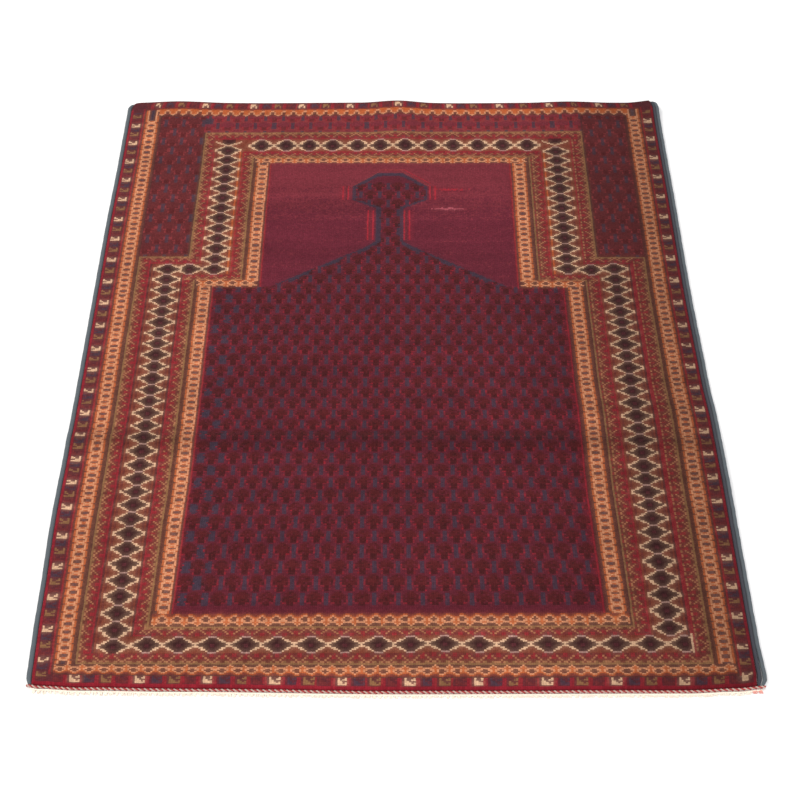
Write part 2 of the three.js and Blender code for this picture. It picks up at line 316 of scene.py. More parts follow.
COMBS = {
    "left": {"place": (20, 620, 930, 1235), "figures": (0, 12, 19, 25)},
    "right": {"place": (5, 570, 920, 1210), "figures": (0, 11, 19, 25)},
    "far": {"place": (35, 450, 860), "figures": (0, 20, 39)},
    "near": {"place": (20, 435, 860), "figures": (0, 20, 40)},
}
ZIGZAG_PITCH = {"side": 24.2, "end": 27.6}

# The arch: half its width at each height, from the flat top of its head to its shoulders
ARCH_MIDDLE = 446
ARCH = {
    "along": (199, 236, 270, 292, 375, 385, 484),
    "half_width": (19, 62, 62, 23, 23, 33, 184),
}

# Where the rows of trees have their middles, by their number from the arch's head down
TREES = {
    "number": (-1, 11, 20, 28, 34, 38),
    "along": (212, 488, 690, 860, 1005, 1115),
}
TREE_PITCH = 10.94
TREE_START = 160.35
PANEL_TREES = {"start": 52, "high": 25.2, "wide": 11.6, "first": 22.8}
BAND_TREES = {"start": 34, "high": 24, "wide": 11.4, "first": 61}

chart = np.full((KNOT_ROWS, KNOT_COLUMNS), LETTERS.index("r"))
COLUMN_WIDTH = PILE_WIDTH / KNOT_COLUMNS
ROW_NUMBERS, COLUMN_NUMBERS = np.mgrid[0:KNOT_ROWS, 0:KNOT_COLUMNS]
MIDDLE_BEAT = (np.array(BEAT["left"]) + np.array(BEAT["right"])) / 2


def warp_place(column, along):
    """How far a warp lies from the pile's left side, before the side's own line bends it."""
    share = column / KNOT_COLUMNS
    place = column * COLUMN_WIDTH + np.interp(along, *NARROW.values()) * np.interp(share, *NARROW_BY.values())
    return place + np.interp(along, *SWAY.values()) * (1 - np.abs(2 * share - 1))


def column_at(across, along):
    """The chart's column at a distance from the pile's left side."""
    columns = np.arange(KNOT_COLUMNS + 1)
    return np.interp(across, warp_place(columns, along), columns)


def row_at(along, side=None):
    """The chart's row at a distance from the far end, on one side or between the two."""
    return np.interp(along, BEAT[side] if side else MIDDLE_BEAT, BEAT["row"])


def along_row(row, side=None):
    return np.interp(row, BEAT["row"], BEAT[side] if side else MIDDLE_BEAT)


def letters(motif):
    """A motif's yarn numbers, with -1 where the ground shows."""
    return np.array([[LETTERS.find(letter) for letter in row] for row in motif])


def tile(view, rows, columns, motif, down=None, over=None):
    """Repeats a motif over some rows and columns; down and over count the repeats before each of them."""
    motif = letters(motif)
    down = (np.arange(*rows) - rows[0] + 0.5) / motif.shape[0] if down is None else down
    over = (np.arange(*columns) - columns[0] + 0.5) / motif.shape[1] if over is None else over
    i = (down % 1 * motif.shape[0]).astype(int)
    j = (over % 1 * motif.shape[1]).astype(int)
    drawn = motif[np.ix_(i, j)]
    area = view[rows[0] : rows[1], columns[0] : columns[1]]
    np.copyto(area, drawn, where=drawn >= 0)


def fitted(length):
    """Counts one repeat over a length, so that a motif fills it."""
    return (np.arange(length) + 0.5) / length


def spread(spacing):
    """The place of every figure of a spacing."""
    at, count = spacing.values()
    return np.interp(np.arange(count[0], count[-1] + 1), count, at)


def counted(spacing, first, end, along):
    """The repeats before each column of a band across the rug."""
    places = warp_place(np.arange(first, end) + 0.5, along)
    at, count = spacing.values()
    before = count[0] + (places - at[0]) * (count[1] - count[0]) / (at[1] - at[0])
    after = count[-1] + (places - at[-1]) * (count[-1] - count[-2]) / (at[-1] - at[-2])
    return np.where(places < at[0], before, np.where(places > at[-1], after, np.interp(places, at, count)))


def dot(view, row, column, letter):
    """One knot, if it lies on the chart."""
    if 0 <= row < view.shape[0] and 0 <= column < view.shape[1] and letter != ".":
        view[row, column] = LETTERS.index(letter)


def block(view, rows, columns, letter):
    view[rows[0] : rows[1], columns[0] : columns[1]] = LETTERS.index(letter)


def turned(motif):
    """A motif turned so that its rows become columns, its last row first."""
    return ["".join(row[k] for row in reversed(motif)) for k in range(len(motif[0]))]


def mirrored(motif):
    return [row[::-1] for row in motif]


def recoloured(motif, table):
    return [row.translate(str.maketrans(table)) for row in motif]


def diamond(view, middle, column, above, below):
    """One stepped diamond round a row and the edge between two columns; above and below count its rows."""
    for way, reach in ((-1, above), (1, below)):
        for away, row in enumerate((*DIAMOND_ROWS[reach], 5)):
            for k, letter in enumerate(DIAMOND[row]):
                dot(view, middle + way * away, column + k, letter)
                dot(view, middle + way * away, column - 1 - k, letter)
    block(view, (middle, middle + 2), (column - 1, column + 1), "g")


def diamond_column(view, along, side, column):
    """Diamonds one below another, each as high as its neighbours leave it."""
    middles = [round(float(row_at(place, side))) for place in along]
    steps = [10, *np.diff(middles), 10]
    for k, middle in enumerate(middles):
        above, below = steps[k] // 2, steps[k + 1] - steps[k + 1] // 2
        diamond(view, middle, column, min(7, max(3, above)), min(7, max(3, below)))


def comb_cycle(motif, down):
    """The comb figure in each yarn of the cycle, one below another or side by side."""
    figures = [[row.replace("x", letter) for row in motif] for letter in COMB_CYCLE]
    if down:
        return [row for figure in figures for row in figure]
    return ["".join(figure[k] for figure in figures) for k in range(len(motif))]


def lattice(view, rows, columns, motif, side, trees):
    """Rows of one motif, each row set half a motif beside the last."""
    along = along_row(np.arange(*rows) + 0.5, side)
    down = (along - trees["start"]) / trees["high"]
    for n in range(int(down[0] // 1), int(down[-1] // 1) + 1):
        here = np.nonzero(np.floor(down) == n)[0] + rows[0]
        if len(here):
            first, end = here[0], here[-1] + 1
            over = (np.arange(*columns) + 0.5 - trees["first"]) / trees["wide"] + 0.5 * (n % 2)
            tile(view, (first, end), columns, motif, down=down[here - rows[0]], over=over)


def border(view, hand):
    """All bands of one half of the rug, on a view that counts its columns from the edge."""
    side = ("left", "right")[hand]
    r, c = np.mgrid[0 : view.shape[0], 0 : view.shape[1]]
    for band in BANDS:
        inside = (r >= band.far) & (r < band.near)
        inside &= c >= np.where(r < band.step, band.upper[hand], band.lower[hand])
        view[inside] = LETTERS.index(band.ground)
    along = along_row(np.arange(KNOT_ROWS) + 0.5, side)

    # Comb figures, which turn round near the end, and the outer chain
    count = np.interp(along, *COMBS[side].values()) + 0.125
    turn = round(float(row_at((1012, 1110)[hand], side)))
    far_comb, near_comb = (mirrored(COMB_SIDE), COMB_SIDE)[:: 1 - 2 * hand]
    tile(view, (14, turn), (1, 8 - hand), comb_cycle(far_comb, True), down=count[14:turn])
    tile(view, (turn, 489), (1, 8 - hand), comb_cycle(near_comb, True), down=count[turn:489])
    chain = np.interp(along, *CHAINS[side].values()) + 0.6
    tile(view, (11, 476), (10 - hand, 19 - hand), CHAIN_SIDE, down=chain[11:476])

    # The panel beside the narrow part of the border
    panel = recoloured(TREE, {"p": "P", "B": "P", "D": "B", "e": "R", "N": "u"})
    first, last = (20, 48) if hand == 0 else (19, 46)
    lattice(view, (20, 169), (first, last), panel, side, PANEL_TREES)
    block(view, (20, 169), (last - 1, last), "d")

    # The outer zigzag, beside the lower diamonds and beside the upper ones
    zigzag = along / ZIGZAG_PITCH["side"] + 0.15
    outer, inner = turned(ZIGZAG), mirrored(turned(ZIGZAG))
    tile(view, (171, 475), (21 - hand, 26), outer, down=zigzag[171:475])
    tile(view, (40, 171), (49 - 2 * hand, 54 - hand), outer, down=zigzag[40:171])
    tile(view, (170, 175), (26, 53), ZIGZAG[::-1])

    # The inner zigzag and chain
    wide = (52, 53)[hand]
    tile(view, (190, 457), (47, wide), inner, down=zigzag[190:457])
    tile(view, (62, 190), (73, 78 + hand), inner, down=zigzag[62:190])
    tile(view, (187, 192), (47, 78), ZIGZAG)
    chain = np.interp(along, *CHAINS["inner"].values())
    links = mirrored(CHAIN_SIDE)
    tile(view, (196, 446), (54 + hand, 62 + 3 * hand), links, down=chain[196:446])
    tile(view, (70, 196), (80 + hand, 88 + 2 * hand), links, down=chain[70:196])
    tile(view, (192, 198), (54 + hand, 88 + 2 * hand), CHAIN_END[1:-1], over=fitted(34 + hand) * 5.1)

    # The diamonds
    block(view, (45, 58), (54, 72), "r")
    diamond_column(view, spread(DIAMONDS["upper " + side]), side, 63)
    step_row = round(float(row_at(440 + 3 * hand, side)))
    diamond(view, step_row, 49 + hand, 5, 5)
    diamond_column(view, spread(DIAMONDS["lower " + side]), side, 37)
    for edge, rows in ((29 + hand, (176, 470)), (43 + hand, (188, 459)), (56, (58, 186)), (70, (58, 186))):
        line = view[rows[0] : rows[1], edge]
        line[line == LETTERS.index("r")] = LETTERS.index("O") if edge > 60 else LETTERS.index("h")


def far_bands():
    """The bands that cross the far end."""
    last = KNOT_COLUMNS
    block(chart, (0, 2), (0, last), "h")
    block(chart, (2, 9), (0, last), "g")
    count = counted(COMBS["far"], 9, last - 9, 12)
    comb = comb_cycle(COMB_FAR, False)
    tile(chart, (2, 9), (9, last - 9), comb, down=fitted(7), over=count / 4)
    block(chart, (9, 11), (11, last - 10), "M")
    chain = counted(CHAINS["far"], 17, last - 16, 33) + 0.5
    tile(chart, (10, 18), (17, last - 16), CHAIN_FAR, over=chain)
    trees = recoloured(TREE, {"p": "R", "B": "n", "D": "P", "e": "k", "N": "u"})
    block(chart, (18, 38), (47, last - 46), "R")
    lattice(chart, (18, 38), (47, last - 46), trees, None, BAND_TREES)
    block(chart, (21, 28), (47, 52), "u")
    block(chart, (38, 39), (48, last - 46), "o")
    block(chart, (39, 44), (50, last - 47), "M")
    across = warp_place(np.arange(50, last - 47) + 0.5, 95)
    tile(chart, (39, 44), (50, last - 47), ZIGZAG[::-1], over=across / ZIGZAG_PITCH["end"])
    for across in spread(DIAMONDS["far"]):
        diamond(chart, 51, round(float(column_at(across, 121))), 6, 6)
    for column in (63, last - 63):
        block(chart, (45, 50), (column - 4, column + 4), "A")
        for k in range(8):
            for way in (-1, 0):
                dot(chart, 51 - (k + 1) // 2, column + (k if way == 0 else -1 - k), "i")
    across = warp_place(np.arange(73, last - 73) + 0.5, 150)
    tile(chart, (59, 64), (73, last - 73), ZIGZAG, over=across / ZIGZAG_PITCH["end"])
    tile(chart, (65, 71), (80, last - 81), CHAIN_END[1:-1], over=fitted(last - 161) * 24)


def near_bands():
    """The bands that cross the near end."""
    last = KNOT_COLUMNS
    block(chart, (485, 491), (9, last - 8), "g")
    count = counted(COMBS["near"], 9, last - 8, 1214)
    comb = comb_cycle(COMB_END, False)
    tile(chart, (485, 490), (9, last - 8), comb, over=(count - 1) / 4)
    bars = np.abs(count - np.rint(count)) < 0.12
    chart[490, 9 : last - 8][bars] = LETTERS.index("k")
    block(chart, (484, 485), (10, last - 9), "d")
    count = counted(CHAINS["near"], 10, last - 9, 1198)
    tile(chart, (476, 484), (10, last - 9), CHAIN_END[::-1], over=count)
    block(chart, (475, 476), (20, last - 19), "o")
    block(chart, (470, 475), (22, last - 21), "M")
    count = (warp_place(np.arange(22, last - 21) + 0.5, 1180) - 442) / ZIGZAG_PITCH["end"]
    tile(chart, (470, 475), (22, last - 21), ZIGZAG, over=count)
    for across in spread(DIAMONDS["near"]):
        diamond(chart, 464, round(float(column_at(across, 1158))), 5, 5)

    # The last diamond is cut short by an upright ivory line
    cut = round(float(column_at(821, 1158)))
    beyond = chart[:, cut:].copy()
    diamond(chart, 464, round(float(column_at(812.5, 1158))), 5, 5)
    chart[:, cut:] = beyond
    block(chart, (458, 470), (cut, cut + 1), "i")
    block(chart, (454, 459), (52, last - 53), "M")
    count = (warp_place(np.arange(52, last - 53) + 0.5, 1136) - 450) / ZIGZAG_PITCH["end"]
    tile(chart, (454, 459), (52, last - 53), ZIGZAG[::-1], over=count)
    block(chart, (453, 454), (52, last - 53), "o")
    count = counted(CHAINS["near inner"], 54, last - 55, 1118)
    tile(chart, (445, 453), (54, last - 55), CHAIN_END, over=count + 0.5)
    block(chart, (440, 445), (64, last - 67), "p")


def arch_outline(row):
    """The arch's first and last column at a row."""
    half = np.interp(along_row(row), *ARCH.values())
    return (ARCH_MIDDLE - half) / COLUMN_WIDTH, (ARCH_MIDDLE + half) / COLUMN_WIDTH


def niche():
    """The plain ground above the field, with the arch's double crimson bars and some marks of wear."""
    bars = (
        ((235, 270), (370, 379, 510, 519), (374.5, 514.5)),
        ((298, 372), (410, 419, 469, 478), (414.5, 473.5)),
    )
    for along, crimson, dark in bars:
        rows = [round(float(row_at(place))) for place in along]
        for across, letter in [(place, "s") for place in crimson] + [(place, "g") for place in dark]:
            column = round(across / COLUMN_WIDTH - 0.5)
            block(chart, rows, (column, column + 1), letter)
    top = round(float(row_at(190)))
    block(chart, (top, top + 1), (155, 169), "R")
    for k in range(16):
        dot(chart, top + k, 169 + k, "s")
        dot(chart, top + 2 + k, 168 + k, "R")
        dot(chart, top + 2 + k, 154 - k, "R")
    rng = np.random.default_rng(5)
    deeper = (chart == LETTERS.index("n")) & (ROW_NUMBERS > 96)
    share = np.clip((ROW_NUMBERS - 96) / 42, 0, 1) + 0.18 * uneven(ROW_NUMBERS + 0.0, 1.9)
    chart[deeper & (rng.random(chart.shape) < share)] = LETTERS.index("m")
    wear = (
        (536, 294, 15, 2.2, "f"), (565, 294, 14, 1.6, "n"), (560, 294, 8, 1.4, "f"),
        (545, 244, 26, 1.4, "s"), (552, 249, 30, 1.2, "p"),
    )
    for across, along, wide, deep, letter in wear:
        row, column = float(row_at(along)), across / COLUMN_WIDTH
        away = np.hypot((COLUMN_NUMBERS + 0.5 - column) / (wide / 2), (ROW_NUMBERS + 0.5 - row) / (deep / 2))
        chart[away < rng.uniform(0.5, 1.2, chart.shape)] = LETTERS.index(letter)


def field():
    """The field of small trees, which rises into the arch."""
    last = KNOT_COLUMNS
    inside = (ROW_NUMBERS >= 198) & (ROW_NUMBERS < 445)
    inside &= (COLUMN_NUMBERS >= 64) & (COLUMN_NUMBERS < last - 67)
    left, right = arch_outline(ROW_NUMBERS + 0.5)
    arch = (ROW_NUMBERS >= row_at(ARCH["along"][0])) & (ROW_NUMBERS < 198)
    arch &= (COLUMN_NUMBERS + 0.5 > left) & (COLUMN_NUMBERS + 0.5 < right)
    whole = inside | arch

    # Rows of trees, each set half a tree beside the last
    plan = np.full_like(chart, LETTERS.index("p"))
    numbers = np.arange(-1, 39)
    middles = row_at(np.interp(numbers, TREES["number"], TREES["along"]))
    for n in range(1, len(numbers) - 1):
        first, end = round((middles[n - 1] + middles[n]) / 2), round((middles[n] + middles[n + 1]) / 2)
        over = (np.arange(64, last - 67) + 0.5 - TREE_START) / TREE_PITCH + 0.5 * (numbers[n] % 2)
        tile(plan, (first, end), (64, last - 67), TREE, down=fitted(end - first), over=over)
    block(plan, (440, 445), (0, last), "p")

    # No two trees are knotted quite alike: here and there a knot of the outline is left out or dark
    rng = np.random.default_rng(17)
    chance = rng.random(chart.shape)
    outline = plan == LETTERS.index("e")
    plan[outline & (chance < 0.16)] = LETTERS.index("p")
    plan[outline & (chance > 0.86)] = LETTERS.index("k")
    bulb = plan == LETTERS.index("B")
    plan[bulb & (chance < 0.1)] = LETTERS.index("p")
    plan[bulb & (chance > 0.88)] = LETTERS.index("D")
    navy = plan == LETTERS.index("N")
    spread = np.roll(navy, 1, axis=1) | np.roll(navy, -1, axis=1)
    plan[spread & (COLUMN_NUMBERS < 78) & (chance < 0.75)] = LETTERS.index("N")
    chart[whole] = plan[whole]

    # The navy rim of the arch, thick round its head and in patches on its shoulders
    inner = whole
    for k in range(4):
        padded = np.pad(inner, 1)
        inner = inner & padded[1:-1, :-2] & padded[1:-1, 2:] & padded[:-2, 1:-1]
        rim = whole & ~inner & (ROW_NUMBERS < 198)
        head = ROW_NUMBERS < row_at(292)
        neck = ROW_NUMBERS < row_at(375)
        patchy = uneven(COLUMN_NUMBERS + 0.0, 3.3) + 0.5 * uneven(ROW_NUMBERS + 0.0, 2.1)
        wide = np.where(head, -1.5 + 0.5 * k, np.where(neck, -1.2 + 0.6 * k, -0.9 + 0.45 * k))
        chart[rim & (patchy > wide)] = LETTERS.index("N")


def weave():
    """Draws the whole chart."""
    half = KNOT_COLUMNS // 2
    border(chart[:, :half], 0)
    border(chart[:, ::-1][:, :half], 1)
    far_bands()
    near_bands()
    field()
    niche()
    block(chart, (KNOT_ROWS - 1, KNOT_ROWS), (0, KNOT_COLUMNS), "k")


# Materials


def linear(colour):
    """A colour of 0 to 255 as Blender's linear red, green, blue and alpha."""
    share = np.array(colour) / 255
    value = np.where(share <= 0.04045, share / 12.92, ((share + 0.055) / 1.055) ** 2.4)
    return (*(float(v) for v in value), 1)


class Shader:
    """A material under construction: each call adds a node and gives back its first output."""

    def __init__(self, name):
        self.material = bpy.data.materials.new(name)
        self.material.use_nodes = True
        self.tree = self.material.node_tree
        self.surface = self.tree.nodes["Principled BSDF"]

    def add(self, kind, *inputs, out=0, **settings):
        node = self.tree.nodes.new("ShaderNode" + kind)
        for name, value in settings.items():
            if name in node.bl_rna.properties:
                setattr(node, name, value)
            else:
                self.set(node.inputs[name], value)
        for socket, value in zip([s for s in node.inputs if s.enabled], inputs):
            self.set(socket, value)
        return node.outputs[out]

    def set(self, socket, value):
        if isinstance(value, bpy.types.NodeSocket):
            self.tree.links.new(value, socket)
        elif value is not None:
            socket.default_value = value

    def math(self, operation, a, b=None, c=None, clamp=False):
        return self.add("Math", a, b, c, operation=operation, use_clamp=clamp)

    def vector(self, operation, a, b=None):
        return self.add("VectorMath", a, b, operation=operation)

    def mix(self, factor, a, b):
        """Between two numbers."""
        node = self.tree.nodes.new("ShaderNodeMix")
        node.data_type = "FLOAT"
        for socket, value in zip((node.inputs[0], node.inputs[2], node.inputs[3]), (factor, a, b)):
            self.set(socket, value)
        return node.outputs[0]

    def blend(self, factor, a, b, how="MIX"):
        """Between two colours."""
        node = self.tree.nodes.new("ShaderNodeMix")
        node.data_type = "RGBA"
        node.blend_type = how
        for socket, value in zip((node.inputs[0], node.inputs[6], node.inputs[7]), (factor, a, b)):
            self.set(socket, value)
        return node.outputs[2]

    def noise(self, where, scale, detail=2.0, roughness=0.5):
        return self.add("TexNoise", Vector=where, Scale=scale, Detail=detail, Roughness=roughness)

    def ramp(self, value, stops, constant=False):
        node = self.tree.nodes.new("ShaderNodeValToRGB")
        node.color_ramp.interpolation = "CONSTANT" if constant else "LINEAR"
        elements = node.color_ramp.elements
        while len(elements) < len(stops):
            elements.new(1)
        for element, (place, colour) in zip(elements, stops):
            element.position = place
            element.color = colour
        self.set(node.inputs[0], value)
        return node.outputs[0]

    def finish(self, colour, rough, sheen, sheen_tint, height, depth):
        self.set(self.surface.inputs["Base Color"], colour)
        self.set(self.surface.inputs["Roughness"], rough)
        self.surface.inputs["Sheen Weight"].default_value = sheen
        self.surface.inputs["Sheen Roughness"].default_value = 0.45
        self.surface.inputs["Sheen Tint"].default_value = linear(sheen_tint)
        self.surface.inputs["Specular IOR Level"].default_value = 0.06
        bump = self.tree.nodes.new("ShaderNodeBump")
        bump.inputs["Distance"].default_value = depth * MM
        bump.inputs["Strength"].default_value = 1
        self.set(bump.inputs["Height"], height)
        self.tree.links.new(bump.outputs[0], self.surface.inputs["Normal"])
        return self.material


# Painted shade towards the right side: where it starts and ends across the rug, and how much light is left
# there
PAINTED_SIDE_SHADE = {"across": (0.12, 0.45), "value": (1.0, 0.58)}
KNOT_CORNERS = ("knot_far_left", "knot_far_right", "knot_near_left", "knot_near_right")


def knotted(name, wobble, shade, mingling, sheen, depth, fibre):
    """Knots in the chart's yarns. A face holds two by two of them, and its four numbers say which yarns."""
    s = Shader(name)
    knots = s.add("UVMap", uv_map="knots")
    here = s.add("TexCoord", out=3)
    fine = s.add("TexNoise", Vector=here, Scale=620, Detail=2, out=1)
    stray = s.vector("MULTIPLY", s.vector("SUBTRACT", fine, (0.5, 0.5, 0.5)), (wobble, wobble, 0))
    moved = s.vector("ADD", s.vector("MULTIPLY", s.vector("FRACTION", knots), (1, 1, 0)), stray)
    pair = s.tree.nodes.new("ShaderNodeSeparateXYZ")
    s.set(pair.inputs[0], moved)
    right = s.math("GREATER_THAN", pair.outputs[0], 0.5)
    near = s.math("GREATER_THAN", pair.outputs[1], 0.5)
    yarns = [s.add("Attribute", attribute_name=corner, out=2) for corner in KNOT_CORNERS]
    number = s.mix(near, s.mix(right, yarns[0], yarns[1]), s.mix(right, yarns[2], yarns[3]))
    count = len(YARNS)
    stops = [(k / count, (*(c * shade for c in linear(YARNS[y])[:3]), 1)) for k, y in enumerate(LETTERS)]
    colour = s.ramp(number, stops, constant=True)
    lean = s.noise(here, 900, 2.0, 0.6)
    near_colour = s.add("Attribute", attribute_name="mingled")
    near_colour = s.blend(1.0, near_colour, (shade, shade, shade, 1), "MULTIPLY")
    colour = s.blend(s.math("MULTIPLY_ADD", lean, 0.7, mingling - 0.35), colour, near_colour)

    # Each knot takes the dye a little differently, and so does each stretch of knotting
    doubled = s.vector("MULTIPLY", s.vector("ADD", knots, s.vector("MULTIPLY", stray, (1, 1, 0))), (2, 2, 1))
    single = s.vector("FLOOR", doubled)
    own = s.add("TexWhiteNoise", single, noise_dimensions="2D")
    stretch = s.noise(s.vector("MULTIPLY", here, (2.2, 26, 1)), 1.0, 3.0, 0.6)
    cloud = s.noise(here, 9.0, 3.0, 0.55)
    tufts = s.noise(here, 1500, 2.0, 0.6)
    value = s.math("MULTIPLY_ADD", own, 0.3, 0.85)
    value = s.math("MULTIPLY", value, s.math("MULTIPLY_ADD", stretch, 0.7, 0.65))
    value = s.math("MULTIPLY", value, s.math("MULTIPLY_ADD", cloud, 0.4, 0.8))

    # Painted shade: the pile darkens towards the right side, as though less light reached it than the left
    side = s.tree.nodes.new("ShaderNodeSeparateXYZ")
    s.set(side.inputs[0], here)
    first, last = PAINTED_SIDE_SHADE["across"]
    side_shade = s.add("MapRange", side.outputs[0], first, last, *PAINTED_SIDE_SHADE["value"], interpolation_type="SMOOTHSTEP")
    value = s.math("MULTIPLY", value, side_shade)

    # Painted shade along the storage crease: a band of darkened pile, darkest at the crease's middle
    middle = (FAR - CREASE["along"]) * MM
    crease_shade = s.math("ABSOLUTE", s.math("SUBTRACT", side.outputs[1], middle))
    crease_shade = s.math("SUBTRACT", 1, s.math("MULTIPLY", crease_shade, 1 / (CREASE_PAINTED_SHADE["half_width"] * MM)), clamp=True)
    value = s.math("MULTIPLY", value, s.math("SUBTRACT", 1, s.math("MULTIPLY", crease_shade, CREASE_PAINTED_SHADE["share"])))
    value = s.math("MULTIPLY", value, s.math("MULTIPLY_ADD", tufts, fibre, 1 - fibre / 2))

    # The gap between a knot and the next lies deeper: the bump lowers it, and painted shade darkens it
    inside = s.vector("SUBTRACT", s.vector("FRACTION", doubled), (0.5, 0.5, 0.5))
    edge = s.tree.nodes.new("ShaderNodeSeparateXYZ")
    s.set(edge.inputs[0], inside)
    across = s.math("POWER", s.math("ABSOLUTE", edge.outputs[0]), 2)
    along = s.math("POWER", s.math("ABSOLUTE", edge.outputs[1]), 2)
    dome = s.math("SUBTRACT", 1, s.math("MULTIPLY", s.math("ADD", across, along), 1.8), clamp=True)
    value = s.math("MULTIPLY", value, s.math("MULTIPLY_ADD", dome, 0.32, 0.78))
    colour = s.blend(1.0, colour, s.add("CombineXYZ", value, value, value), "MULTIPLY")
    height = s.math("ADD", s.math("MULTIPLY", dome, 0.6), s.math("MULTIPLY", tufts, 0.7))
    rough = s.math("MULTIPLY_ADD", cloud, 0.12, 0.86)
    return s.finish(colour, rough, sheen, (255, 214, 214), height, depth)


def spun(name, dark, light, ribs, twist, depth, sheen=0.1, groove_shade=0.45):
    """Yarn laid side by side. The piece's UV map gives millimetres along it, and turns round it."""
    s = Shader(name)
    laid = s.add("UVMap", uv_map="laid")
    here = s.add("TexCoord", out=3)
    parts = s.tree.nodes.new("ShaderNodeSeparateXYZ")
    s.set(parts.inputs[0], laid)
    turn = s.math("MULTIPLY_ADD", parts.outputs[0], 1 / ribs, s.math("MULTIPLY", parts.outputs[1], twist))
    wave = s.math("ABSOLUTE", s.math("SINE", s.math("MULTIPLY", turn, math.pi)))
    hairs = s.noise(s.vector("MULTIPLY", laid, (2.6, 3.0, 1)), 1.0, 3.0, 0.6)
    own = s.add("TexWhiteNoise", s.math("FLOOR", turn), noise_dimensions="1D")
    fuzz = s.noise(here, 1400, 2.0, 0.6)
    amount = s.math("ADD", s.math("MULTIPLY", hairs, 0.9), s.math("MULTIPLY_ADD", own, 0.5, -0.25))
    amount = s.math("ADD", amount, s.math("MULTIPLY_ADD", fuzz, 0.4, -0.2))
    colour = s.ramp(amount, [(0.15, linear(dark)), (0.85, linear(light))])
    # Painted shade: the grooves between the turns are darkened
    value = s.math("MULTIPLY_ADD", wave, groove_shade, 1.05 - groove_shade)
    colour = s.blend(1.0, colour, s.add("CombineXYZ", value, value, value), "MULTIPLY")
    height = s.math("ADD", s.math("MULTIPLY", wave, 0.8), s.math("MULTIPLY", fuzz, 0.5))
    rough = s.math("MULTIPLY_ADD", fuzz, 0.15, 0.78)
    return s.finish(colour, rough, sheen, (240, 235, 235), height, depth)


# Pieces


def placed(name, mesh, *materials):
    """A finished mesh as an object of the scene, with smooth faces."""
    piece = bpy.data.objects.new(name, mesh)
    bpy.context.scene.collection.objects.link(piece)
    for material in materials:
        mesh.materials.append(material)
    mesh.polygons.foreach_set("use_smooth", np.ones(len(mesh.polygons), bool))
    return piece


def pile_faces():
    """The pile's faces in the chart's own space: x and y from 0 to 1, and z the number of the rim's ring."""
    across, along = KNOT_COLUMNS // 2, KNOT_ROWS // 2
    rings = len(RIM["height"])
    sheet = bmesh.new()
    sheet.loops.layers.uv.new("knots")
    bmesh.ops.create_grid(sheet, x_segments=across, y_segments=along, size=0.5)
    bmesh.ops.translate(sheet, verts=sheet.verts, vec=(0.5, 0.5, 0))
    copied = bmesh.ops.duplicate(sheet, geom=sheet.faces[:])["geom"]
    under = [part for part in copied if isinstance(part, bmesh.types.BMFace)]
    below = [part for part in copied if isinstance(part, bmesh.types.BMVert)]
    bmesh.ops.reverse_faces(sheet, faces=under)
    for face in under:
        face.material_index = 1
    edge = [e for e in sheet.edges if e.is_boundary and e.verts[0] not in set(below)]
    bmesh.ops.translate(sheet, verts=below, vec=(0, 0, rings - 1))
    for _ in range(rings - 1):
        grown = bmesh.ops.extrude_edge_only(sheet, edges=edge)["geom"]
        edge = [part for part in grown if isinstance(part, bmesh.types.BMEdge) and part.is_boundary]
        outer = {vert for e in edge for vert in e.verts}
        bmesh.ops.translate(sheet, verts=list(outer), vec=(0, 0, 1))
    bmesh.ops.remove_doubles(sheet, verts=sheet.verts, dist=1e-5)
    return sheet


STRAY = 0.26
MINGLED = 2


def pile_points(plan):
    """The place of each vertex, from its place in the chart's space."""
    u, v, ring = plan[:, 0], 1 - plan[:, 1], np.rint(plan[:, 2]).astype(int)
    row, column = v * KNOT_ROWS, u * KNOT_COLUMNS
    left, right = (np.interp(row, BEAT["row"], BEAT[side]) for side in ("left", "right"))
    along = left + (right - left) * u
    straight = warp_place(column, along)

    # Knots stray a little from their rows, more in the pile than on the back
    rng = np.random.default_rng(11)
    stray = rng.normal(0, STRAY, (3, len(u)))
    inner = (u > 0.001) & (u < 0.999) & (v > 0.001) & (v < 0.999)
    slow = uneven(column, 5.3) * 0.5 + uneven(row, 7.1) * 0.35
    straight = straight + np.where(inner, stray[0], 0)
    along = along + np.where(inner, stray[1] + 0.45 * slow, 0)

    height, inset = (np.array(RIM[name])[ring] * THICKNESS for name in RIM)
    top = ring == 0
    under = (ring == ring.max()) & inner
    height = np.where(under, 0, height + np.where(top & inner, 0.6 * stray[2] + 0.12 * slow, 0))
    along = np.where(v < 0.001, along + inset, np.where(v > 0.999, along - NEAR_RIM * inset, along))
    span = right_side(along) - left_side(along)
    across = left_side(along) + straight / PILE_WIDTH * span
    across = np.where(u < 0.001, across + inset, np.where(u > 0.999, across - inset, across))
    return point(across, along, height)


